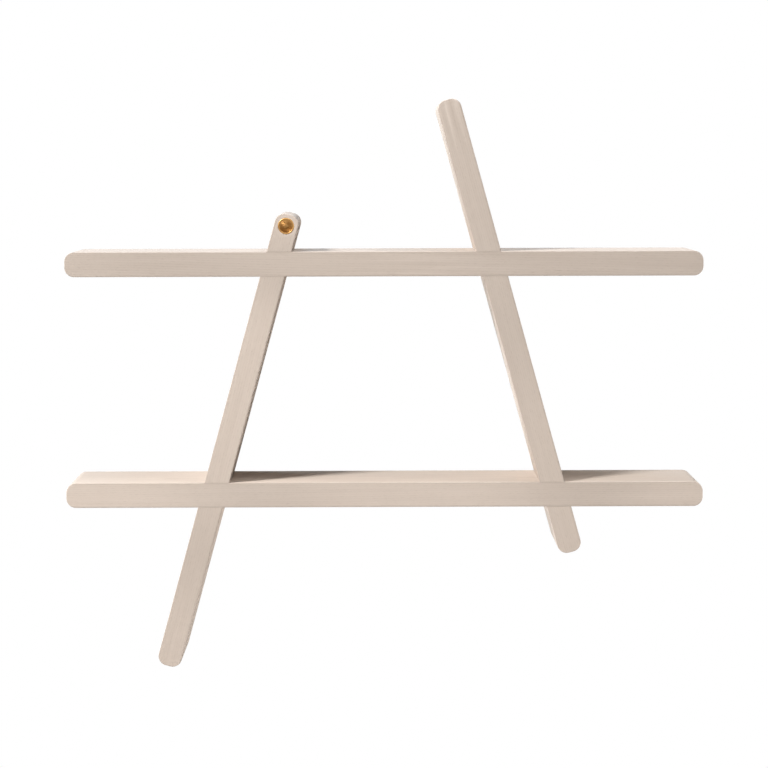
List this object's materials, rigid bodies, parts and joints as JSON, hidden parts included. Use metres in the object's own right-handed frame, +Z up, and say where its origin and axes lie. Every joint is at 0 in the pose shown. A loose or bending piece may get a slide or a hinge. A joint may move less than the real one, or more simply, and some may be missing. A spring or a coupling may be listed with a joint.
{
  "type": "wall ladder shelf",
  "caption": "Wall-hung oak shelf: level boards halved into leaning plank bars in an A shape, with a brass button inlaid and keyhole hangers let into the backs.",
  "frame": {"origin": "in the wall plane, midway between the two keyholes that the wall screws enter, just below the upper shelf's mid-height", "axes": "+X to the right as seen from the room, +Y from the room into the wall, +Z up"},
  "size_m": [0.67, 0.1206, 0.5977],
  "materials": {
    "shelf_oak": "white-pigmented matt oil, grain along the shelf",
    "bar_oak": "white-pigmented matt oil, grain along the bar",
    "brass": "turned and brushed, lightly tarnished",
    "zinc_plate": "bright zinc plated",
    "screw_steel": "zinc plated"
  },
  "bodies": {
    "root": {"upper_shelf": "shelf_oak", "lower_shelf": "shelf_oak", "left_bar": "bar_oak", "right_bar": "bar_oak", "brass_button": "brass", "left_hanger": "zinc_plate", "right_hanger": "zinc_plate", "left_hanger_screws": "screw_steel", "right_hanger_screws": "screw_steel"}
  },
  "joints": []
}
